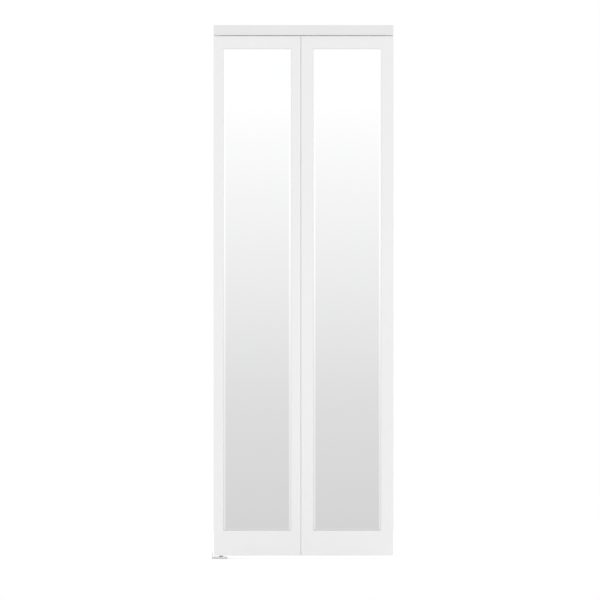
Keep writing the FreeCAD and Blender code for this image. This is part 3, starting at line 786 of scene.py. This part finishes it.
def lathe(profile: Sequence[Point], foot: Vector, sides: int) -> Mesh:
    """Turns a closed profile round an upright axis.

    Args:
        profile: (radius, height) points of the closed outline.
        foot: A point on the axis, which the heights count from.
        sides: How many faces go round.

    Returns:
        The closed mesh, with its faces outwards.
    """
    form = bmesh.new()
    turns = [math.tau * side / sides for side in range(sides)]
    rings = []
    for radius, height in profile:
        offsets = [(radius * math.cos(turn), radius * math.sin(turn), height) for turn in turns]
        rings.append([form.verts.new(foot + Vector(offset)) for offset in offsets])
    for low, high in zip(rings, rings[1:] + rings[:1]):
        for side in range(sides):
            form.faces.new((low[side - 1], low[side], high[side], high[side - 1]))
    bmesh.ops.remove_doubles(form, verts=form.verts, dist=SAME_POINT)
    bmesh.ops.recalc_face_normals(form, faces=form.faces)
    return smooth_mesh(form)


# ---- geometry node trees

class FormTree(NodeSketch):
    """A Geometry Nodes tree with named inputs, which turns a host mesh into a finished one."""

    def __init__(self, name: str, sizes: Mapping[str, float]) -> None:
        """Makes the tree with a geometry input and one number for each named size.

        Args:
            name: The tree's name.
            sizes: Each size's name and value.
        """
        super().__init__(bpy.data.node_groups.new(name, "GeometryNodeTree"))
        new_socket = self.tree.interface.new_socket
        new_socket("Geometry", in_out="INPUT", socket_type="NodeSocketGeometry")
        self.keys = {
            size: new_socket(size, in_out="INPUT", socket_type="NodeSocketFloat").identifier
            for size in sizes
        }
        new_socket("Geometry", in_out="OUTPUT", socket_type="NodeSocketGeometry")
        self.sizes = dict(sizes)
        self.start = self.add("NodeGroupInput")

    def size(self, name: str) -> Socket:
        """The output of the group's input for one named size."""
        return self.start.outputs[name]

    def vector(self, x: Any = 0.0, y: Any = 0.0, z: Any = 0.0) -> Socket:
        """A vector of three values or outputs."""
        return self.add("ShaderNodeCombineXYZ", {0: x, 1: y, 2: z}).outputs[0]

    def moved(self, geometry: Socket, **place: Any) -> Socket:
        """The geometry with a Translation, Rotation or Scale."""
        return self.add("GeometryNodeTransform", {"Geometry": geometry, **place}).outputs[0]

    def lowered(self, geometry: Socket, size_name: str) -> Socket:
        """The geometry moved down by a named size."""
        drop = self.math("MULTIPLY", self.size(size_name), -1.0)
        return self.moved(geometry, Translation=self.vector(z=drop))

    def cone(self, sides: int, top: Socket, foot: Any, depth: Socket) -> Socket:
        """A cone that stands on the origin, with the radius of its top and of its foot."""
        sizes = {"Vertices": sides, "Radius Top": top, "Radius Bottom": foot, "Depth": depth}
        return self.add("GeometryNodeMeshCone", sizes).outputs["Mesh"]

    def bar(self, path: Socket, radius: Any, sides: int, capped: bool) -> Socket:
        """A round bar along a curve.

        Args:
            path: The curve.
            radius: The bar's radius.
            sides: How many faces go round it.
            capped: Whether its ends are closed.

        Returns:
            The bar's mesh.
        """
        sizes = {"Resolution": sides, "Radius": radius}
        ring = self.add("GeometryNodeCurvePrimitiveCircle", sizes, mode="RADIUS").outputs[0]
        run = {"Curve": path, "Profile Curve": ring, "Fill Caps": capped}
        return self.add("GeometryNodeCurveToMesh", run).outputs[0]

    def grow(self, name: str, host: Mesh, made: Socket, finish: Finish) -> Piece:
        """Ends the tree, runs it once on the host and keeps what it makes as a plain mesh.

        Args:
            name: The name of the piece.
            host: The mesh that the tree starts from.
            made: The output with the finished geometry.
            finish: The finish of the piece.

        Returns:
            The piece, with no modifier on it.
        """
        solid = self.add("GeometryNodeRealizeInstances", {0: made}).outputs[0]
        smooth = self.add("GeometryNodeSetShadeSmooth", {"Geometry": solid}).outputs[0]
        coat = {"Geometry": smooth, "Material": finish.material()}
        painted = self.add("GeometryNodeSetMaterial", coat).outputs[0]
        self.add("NodeGroupOutput", {0: painted})
        piece = new_piece(name, host, finish)
        modifier = piece.modifiers.new(name, "NODES")
        modifier.node_group = self.tree
        for size_name, value in self.sizes.items():
            modifier[self.keys[size_name]] = value
        view = bpy.context.evaluated_depsgraph_get()
        grown = bpy.data.meshes.new_from_object(piece.evaluated_get(view), depsgraph=view)
        piece.modifiers.remove(modifier)
        piece.data = grown
        grown.name = name
        grown.set_sharp_from_angle(angle=SHARP_ANGLE)
        return piece


# ---- sub-assemblies

@dataclass
class Leaf:
    """One leaf: painted skins on a timber frame and board, with the mirror in its window."""

    side: LeafSide
    skin_edge: EdgeSoftener = EdgeSoftener(width=0.45 * MM)

    def build(self) -> None:
        """Finishes the leaf's skins, frame, board, tape and mirror."""
        leaf = self.side.value
        for face in ("front_skin", "back_skin"):
            self.paint_skin(f"{leaf}_{face}")
        for part, finish in (
            ("outer_stile", STILE_WOOD),
            ("hinge_stile", STILE_WOOD),
            ("top_rail", RAIL_WOOD),
            ("bottom_rail", RAIL_WOOD),
            ("core_panel", CHIP_CORE),
            ("mirror_tape", FOAM),
            ("mirror", MIRROR_GLASS),
        ):
            dress(f"{leaf}_{part}", finish)

    def paint_skin(self, node: str) -> None:
        """A painted skin, soft-edged on its outer face and tight to the frame behind it."""
        inmost = max(abs(corner.y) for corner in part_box(node)) - self.skin_edge.width
        self.skin_edge.apply(node, LEAF_PAINT, lambda place: abs(place.y) > inmost)


@dataclass
class SeamHinges:
    """The three hinges on the back of the seam, with their pins and countersunk screws.

    The thread stops at thread_stop head heights and reaches thread_reach of the shank's radius.
    """

    head_radius: float = 3.3 * MM
    head_height: float = 1.8 * MM
    head_sides: int = 28
    shank_radius: float = 1.6 * MM
    core_radius: float = 1.15 * MM
    core_sides: int = 16
    tip_radius: float = 0.25 * MM
    screw_length: float = 16.0 * MM
    thread_turns: float = 11.0
    thread_steps: int = 14
    thread_start: float = 0.3 * MM
    thread_reach: float = 0.84
    thread_stop: float = 1.6
    ridge_radius: float = 0.26 * MM
    ridge_sides: int = 3
    recess_span: float = 3.9 * MM
    recess_width: float = 0.95 * MM
    recess_depth: float = 1.3 * MM
    outer_offset: float = 15.5 * MM
    inner_offset: float = 10.5 * MM
    height_offset: float = 27.0 * MM
    pin_dome: float = 0.5 * MM
    pin_sides: int = 32
    dome_steps: int = 4
    plate_edge: EdgeSoftener = EdgeSoftener(width=0.3 * MM, segments=2)

    def build(self) -> None:
        """Finishes the plates and makes the pins and the screws of both leaves."""
        for place in HingePlace:
            for plate in ("jamb_plate", "lead_plate"):
                self.plate_edge.apply(f"{place.value}_{plate}", HINGE_NICKEL)
            self.make_pin(place)
        self.make_screws(LeafSide.JAMB, away=-1.0, turn_seed=7.0)
        self.make_screws(LeafSide.LEAD, away=1.0, turn_seed=11.0)

    def make_pin(self, place: HingePlace) -> None:
        """A pin with slightly domed ends, in the place of the plain one.

        Args:
            place: The hinge that it holds.
        """
        node = f"{place.value}_pin"
        low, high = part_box(node)
        radius = (high.x - low.x) / 2
        length = high.z - low.z
        arc = quarter_arc(self.dome_steps)
        dome = [(radius * cosine, self.pin_dome * sine) for cosine, sine in arc]
        bottom = [(reach, self.pin_dome - rise) for reach, rise in reversed(dome)]
        top = [(reach, length - self.pin_dome + rise) for reach, rise in dome]
        mesh = lathe(bottom + top, foot_of(node), self.pin_sides)
        stand_in(new_piece(f"{node}_domed", mesh, HINGE_NICKEL), node)

    def screw_points(self, away: float) -> list[Vector]:
        """The middle of each screw head on one leaf.

        Args:
            away: Minus one for the jamb leaf's side of the seam and one for the lead leaf's.

        Returns:
            The points, on the outer faces of the plates.
        """
        face_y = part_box(f"{LeafSide.JAMB.value}_hinge_screws")[1].y
        points = []
        for place in HingePlace:
            low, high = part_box(f"{place.value}_pin")
            seam_x, middle_z = (low.x + high.x) / 2, (low.z + high.z) / 2
            for offset, rise in (
                (self.outer_offset, -self.height_offset),
                (self.inner_offset, 0.0),
                (self.outer_offset, self.height_offset),
            ):
                points.append(Vector((seam_x + away * offset, face_y, middle_z + rise)))
        return points

    def make_screws(self, side: LeafSide, away: float, turn_seed: float) -> None:
        """Countersunk wood screws with a cross recess and a thread, as one piece for the leaf.

        Args:
            side: The leaf that they go into.
            away: The side of the seam, as screw_points has it.
            turn_seed: The seed for how far each screw happens to be turned.
        """
        tree = FormTree(
            f"{side.value}_screw_tree",
            {
                "Head Radius": self.head_radius,
                "Head Height": self.head_height,
                "Shank Radius": self.shank_radius,
                "Core Radius": self.core_radius,
                "Length": self.screw_length,
                "Thread Turns": self.thread_turns,
                "Recess Span": self.recess_span,
                "Recess Width": self.recess_width,
                "Recess Depth": self.recess_depth,
                "Turn Seed": turn_seed,
            },
        )
        parts = [self.head(tree), self.shank(tree), self.thread(tree)]
        stand = {
            "Points": tree.start.outputs["Geometry"],
            "Instance": tree.add("GeometryNodeJoinGeometry", {0: parts}).outputs[0],
            "Rotation": (-QUARTER_TURN, 0, 0),
        }
        placed = tree.add("GeometryNodeInstanceOnPoints", stand)
        # A random float has its ends in inputs 2 and 3, and comes out of output 1.
        chance = {2: 0.0, 3: QUARTER_TURN, "Seed": tree.size("Turn Seed")}
        spin = tree.add("FunctionNodeRandomValue", chance, data_type="FLOAT").outputs[1]
        turn = {"Rotation": tree.vector(z=spin), "Local Space": True}
        turned = tree.add("GeometryNodeRotateInstances", {"Instances": placed.outputs[0], **turn})
        node = f"{side.value}_hinge_screws"
        host = bpy.data.meshes.new(node)
        host.from_pydata(self.screw_points(away), [], [])
        piece = tree.grow(f"{node}_driven", host, turned.outputs[0], BRIGHT_ZINC)
        stand_in(piece, node)

    def head(self, tree: FormTree) -> Socket:
        """The countersunk head, with the cross cut out of it.

        Args:
            tree: The screws' tree.

        Returns:
            The head, with its top at the origin.
        """
        names = ("Head Radius", "Core Radius", "Head Height")
        cone = tree.cone(self.head_sides, *(tree.size(name) for name in names))
        head = tree.lowered(cone, "Head Height")
        twice = tree.math("MULTIPLY", tree.size("Recess Depth"), 2.0)
        size = tree.vector(tree.size("Recess Span"), tree.size("Recess Width"), twice)
        arm = tree.add("GeometryNodeMeshCube", {"Size": size}).outputs["Mesh"]
        other = tree.moved(arm, Rotation=(0, 0, QUARTER_TURN))
        solids = {"Mesh 1": head, "Mesh 2": [arm, other]}
        cut = tree.add("GeometryNodeMeshBoolean", solids, operation="DIFFERENCE")
        return cut.outputs["Mesh"]

    def shank(self, tree: FormTree) -> Socket:
        """The tapered core.

        Args:
            tree: The screws' tree.

        Returns:
            The core, from under the head to the point.
        """
        below = tree.math("SUBTRACT", tree.size("Length"), tree.size("Head Height"))
        core = tree.cone(self.core_sides, tree.size("Core Radius"), self.tip_radius, below)
        return tree.lowered(core, "Length")

    def thread(self, tree: FormTree) -> Socket:
        """The thread: a ridge wound round the core.

        Args:
            tree: The screws' tree.

        Returns:
            The ridge, narrowing to the point.
        """
        plain = tree.math("MULTIPLY", tree.size("Head Height"), self.thread_stop)
        path = tree.add(
            "GeometryNodeCurveSpiral",
            {
                "Resolution": self.thread_steps,
                "Rotations": tree.size("Thread Turns"),
                "Start Radius": self.thread_start,
                "End Radius": tree.math("MULTIPLY", tree.size("Shank Radius"), self.thread_reach),
                "Height": tree.math("SUBTRACT", tree.size("Length"), plain),
            },
        )
        ridge = tree.bar(path.outputs[0], self.ridge_radius, self.ridge_sides, capped=False)
        return tree.lowered(ridge, "Length")


@dataclass
class SprungPlunger:
    """A plunger in the top of a leaf: its sleeve, spring and pin."""

    place: PlungerPlace
    travel: float = 13.0 * MM
    wire_radius: float = 0.55 * MM
    wire_sides: int = 10
    turns: float = 7.0
    steps_per_turn: int = 32
    closed_end: Point = (0.14, 0.045)
    small_edge: EdgeSoftener = EdgeSoftener(width=0.25 * MM)

    def build(self) -> None:
        """Finishes the sleeve and pin and winds the spring."""
        self.small_edge.apply(f"{self.place.value}_sleeve", SLEEVE_NYLON)
        self.small_edge.apply(f"{self.place.value}_pin", BRIGHT_ZINC)
        self.make_spring()

    def make_spring(self) -> None:
        """A round-wire spring with closed ends."""
        node = f"{self.place.value}_spring"
        low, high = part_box(node)
        foot = foot_of(node)
        height = high.z - low.z
        tree = FormTree(
            f"{node}_tree",
            {
                "Mean Radius": (high.y - low.y) / 2 - self.wire_radius,
                "Wire Radius": self.wire_radius,
                "Height": height - 2 * self.wire_radius,
                "Turns": self.turns,
            },
        )
        flat = tree.add(
            "GeometryNodeCurveSpiral",
            {
                "Resolution": self.steps_per_turn,
                "Rotations": tree.size("Turns"),
                "Start Radius": tree.size("Mean Radius"),
                "End Radius": tree.size("Mean Radius"),
                "Height": 0.0,
            },
        )
        along = tree.add("GeometryNodeSplineParameter").outputs["Factor"]
        wound, risen = self.closed_end
        ends = ((0, 0), (wound, risen), (1 - wound, 1 - risen), (1, 1))
        rise = tree.math("MULTIPLY", tree.straight_curve(along, ends), tree.size("Height"))
        lift = {"Geometry": flat.outputs[0], "Offset": tree.vector(z=rise)}
        coil = tree.add("GeometryNodeSetPosition", lift).outputs[0]
        wire = tree.bar(coil, tree.size("Wire Radius"), self.wire_sides, capped=True)
        seat = tree.vector(foot.x, foot.y, foot.z + self.wire_radius)
        seated = tree.moved(wire, Translation=seat)
        name = f"{node}_{SPRING_WIRE.worked}"
        piece = tree.grow(name, bpy.data.meshes.new(node), seated, SPRING_WIRE)
        stand_in(piece, node)
        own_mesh(piece)


@dataclass
class GuideWheel:
    """The nylon wheel that runs in the track."""

    sides: int = 64
    bore_radius: float = 3.05 * MM
    bore_chamfer: float = 0.3 * MM
    hub_radius: float = 5.1 * MM
    hub_slope: float = 0.2 * MM
    dish_radius: float = 7.0 * MM
    dish_slope: float = 0.3 * MM
    dish_depth: float = 0.9 * MM
    rim_round: float = 1.2 * MM
    rim_steps: int = 5

    def build(self) -> None:
        """A wheel with a rounded tread and a dished web on both faces."""
        node = "guide_wheel"
        low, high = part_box(node)
        width = high.z - low.z
        tread = (high.x - low.x) / 2 - self.rim_round
        lower = [
            (self.bore_radius, self.bore_chamfer),
            (self.bore_radius + self.bore_chamfer, 0.0),
            (self.hub_radius, 0.0),
            (self.hub_radius + self.hub_slope, self.dish_depth),
            (self.dish_radius - self.dish_slope, self.dish_depth),
            (self.dish_radius, 0.0),
        ]
        for cosine, sine in quarter_arc(self.rim_steps):
            lower.append((tread + self.rim_round * sine, self.rim_round - self.rim_round * cosine))
        upper = [(reach, width - height) for reach, height in reversed(lower)]
        mesh = lathe(lower + upper, foot_of(node), self.sides)
        piece = new_piece(f"{node}_{WHEEL_NYLON.worked}", mesh, WHEEL_NYLON)
        stand_in(piece, node)


@dataclass
class HeadTrack:
    """The track with its fascia, and what sits in it: top bracket, lock screw and stop."""

    section_edge: EdgeSoftener = EdgeSoftener(width=0.3 * MM)

    def build(self) -> None:
        """Finishes the track and what sits in it."""
        self.section_edge.apply("track", TRACK_ENAMEL)
        self.section_edge.apply("track_stop", BUFFER_RUBBER)
        self.section_edge.apply("top_bracket", PRESSED_SHEET)
        self.section_edge.apply("top_bracket_lock_screw", BRIGHT_ZINC)


@dataclass
class FloorBracket:
    """The bracket on the floor and jamb, and the bottom pivot that stands in its teeth."""

    running_clearance: float = 0.02 * MM
    sheet_edge: EdgeSoftener = EdgeSoftener(width=0.2 * MM, segments=2)

    def build(self) -> None:
        """Finishes the bracket, pivot pin, height nut and sleeve."""
        self.sheet_edge.apply("jamb_bracket", PRESSED_SHEET)
        self.sheet_edge.apply("bottom_pivot_pin", BRIGHT_ZINC)
        self.ease_top(self.sheet_edge.apply("bottom_pivot_nut", BRIGHT_ZINC))
        self.sheet_edge.apply("bottom_pivot_sleeve", SLEEVE_NYLON)

    def ease_top(self, nut: Piece) -> None:
        """Takes a hair off the nut's top, so that the sleeve turns on it without rubbing.

        Args:
            nut: The finer nut.
        """
        top = max(corner.co.z for corner in nut.data.vertices)
        for corner in nut.data.vertices:
            if corner.co.z > top - self.running_clearance:
                corner.co.z -= self.running_clearance


# ---- studio

@dataclass(frozen=True)
class SoftLamp:
    """A soft square lamp that hangs on both sides of the door, and that reflections don't show."""

    prefix: str
    aside: float
    behind: float
    above: float
    size: float
    power: float

    def hang(self, side_name: str, side: int, centre: Vector) -> None:
        """Hangs the lamp of one side, turned to the middle of the door.

        Args:
            side_name: The side's word in the lamp's name.
            side: Minus one for the left and one for the right.
            centre: The middle of the door.
        """
        name = f"{self.prefix}{side_name}_lamp"
        lamp = bpy.data.lights.new(name, "AREA")
        lamp.shape = "SQUARE"
        lamp.size = self.size
        lamp.energy = self.power
        holder = bpy.data.objects.new(name, lamp)
        place = centre + Vector((self.aside * side, self.behind, self.above))
        holder.location = place
        holder.rotation_euler = (centre - place).to_track_quat("-Z", "Y").to_euler()
        holder.visible_glossy = False
        bpy.context.scene.collection.objects.link(holder)


@dataclass
class Studio:
    """A white floor and surround, soft even light, and a grey gradient for mirrors and metal.

    Each point of the gradient is the upward part of a ray's direction and the brightness there.
    """

    centre: Vector
    floor_radius: float = 1.0
    floor_sides: int = 96
    floor_drop: float = 0.3 * MM
    floor_white: float = 0.94
    floor_lift: float = 0.3
    floor_in_mirror: float = 0.7
    surround_light: float = 0.83
    gradient: tuple[Point, ...] = (
        (-1.0, 0.7), (-0.3, 0.695), (-0.11, 0.675), (-0.05, 0.745),
        (0.0, 0.845), (0.05, 0.94), (0.095, 1.03), (1.0, 1.05),
    )
    side_lift: float = 0.13
    lifted_aside: Span = (0.06, 0.22)
    lifted_above: Span = (-0.25, -0.13)
    lamps: tuple[SoftLamp, ...] = (
        SoftLamp("", aside=2.6, behind=-4.6, above=0.1, size=2.4, power=34.0),
        SoftLamp("back_", aside=1.7, behind=3.1, above=1.2, size=1.6, power=17.0),
    )

    def build(self) -> None:
        """Makes the floor, the surround and the lamps round the middle of the door."""
        self.make_floor()
        self.make_surround()
        for side, side_name in ((-1, "left"), (1, "right")):
            for lamp in self.lamps:
                lamp.hang(side_name, side, self.centre)

    def make_floor(self) -> None:
        """A disc of floor that is white to the camera, keeps shadows and is greyer in mirrors."""
        form = bmesh.new()
        bmesh.ops.create_circle(
            form, cap_ends=True, radius=self.floor_radius, segments=self.floor_sides
        )
        mesh = bpy.data.meshes.new("floor")
        form.to_mesh(mesh)
        form.free()
        for corner in mesh.vertices:
            corner.co += Vector((self.centre.x, self.centre.y, -self.floor_drop))
        material = bpy.data.materials.new("floor_white")
        material.use_nodes = True
        coat = NodeSketch(material.node_tree)
        rays = coat.add("ShaderNodeLightPath").outputs
        colour = (self.floor_white,) * 3 + (1,)
        white = coat.add("ShaderNodeBsdfDiffuse", {"Color": colour}).outputs[0]
        lift = coat.add("ShaderNodeEmission", {"Strength": self.floor_lift}).outputs[0]
        bright = coat.add("ShaderNodeAddShader", {0: white, 1: lift}).outputs[0]
        grey = coat.add("ShaderNodeEmission", {"Strength": self.floor_in_mirror}).outputs[0]
        plain = coat.either(rays["Is Camera Ray"], white, bright)
        shown = coat.either(rays["Is Glossy Ray"], plain, grey)
        coat.add("ShaderNodeOutputMaterial", {"Surface": shown})
        mesh.materials.append(material)
        floor = bpy.data.objects.new("floor", mesh)
        bpy.context.scene.collection.objects.link(floor)
        LOG.info("floor laid, %.1f m across", 2 * self.floor_radius)

    def make_surround(self) -> None:
        """White to the camera, even light on surfaces, and a gradient by height in reflections."""
        world = bpy.data.worlds.new("surround")
        world.use_nodes = True
        bpy.context.scene.world = world
        sky = NodeSketch(world.node_tree)
        rays = sky.add("ShaderNodeLightPath").outputs
        along = sky.add("ShaderNodeTexCoord").outputs["Generated"]
        way = sky.add("ShaderNodeSeparateXYZ", {0: along}).outputs
        top = self.gradient[-1][1]
        points = [((rise + 1) / 2, level / top) for rise, level in self.gradient]
        ramp = sky.straight_curve(sky.spread(way[Axis.Z], (-1, 1), WHOLE), points)
        sideways = sky.math("ABSOLUTE", way[Axis.X])
        aside = sky.spread(sideways, self.lifted_aside, (0, self.side_lift))
        lift = sky.math("MULTIPLY", aside, sky.spread(way[Axis.Z], self.lifted_above, WHOLE))
        level = sky.math("ADD", sky.math("MULTIPLY", ramp, top), lift)
        seen, glow, shown = (
            sky.add("ShaderNodeBackground", {"Color": (1, 1, 1, 1), "Strength": strength}).outputs[0]
            for strength in (1.0, self.surround_light, sky.math("MINIMUM", level, top))
        )
        clear = sky.math("MAXIMUM", rays["Is Camera Ray"], rays["Is Transmission Ray"])
        unseen = sky.either(rays["Is Glossy Ray"], glow, shown)
        sky.add("ShaderNodeOutputWorld", {"Surface": sky.either(clear, unseen, seen)})


@dataclass
class FrontCamera:
    """A level camera square to the closed door, far back on a long lens."""

    picture_pixels: float = 600.0
    pixel_size: float = 3.859 * MM
    distance: float = 8.0
    seam_pixel_x: float = 303.5
    foot_pixel_y: float = 555.7
    sensor: float = 36.0

    def build(self) -> None:
        """Places the camera by the hinges and by the lower front edge of the leaves."""
        seam = foot_of("middle_hinge_pin")
        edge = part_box("jamb_leaf_front_skin")[0]
        middle = self.picture_pixels / 2
        across = seam.x - (self.seam_pixel_x - middle) * self.pixel_size
        height = edge.z + (self.foot_pixel_y - middle) * self.pixel_size
        lens = bpy.data.cameras.new("front_camera")
        lens.sensor_width = self.sensor
        lens.lens = self.sensor * self.distance / (self.picture_pixels * self.pixel_size)
        holder = bpy.data.objects.new("front_camera", lens)
        holder.location = (across, edge.y - self.distance, height)
        holder.rotation_euler = (QUARTER_TURN, 0, 0)
        bpy.context.scene.collection.objects.link(holder)
        bpy.context.scene.camera = holder


def main() -> None:
    """Builds every sub-assembly, the studio and the camera."""
    logging.basicConfig(level=logging.INFO, format="%(name)s: %(message)s")
    bpy.context.scene.view_settings.view_transform = "Standard"
    for side in LeafSide:
        Leaf(side).build()
    SeamHinges().build()
    for place in PlungerPlace:
        SprungPlunger(place).build()
    GuideWheel().build()
    HeadTrack().build()
    FloorBracket().build()

    low, high = CAD_BOX
    Studio((low + high) / 2).build()
    FrontCamera().build()


if __name__ == "__main__":
    main()
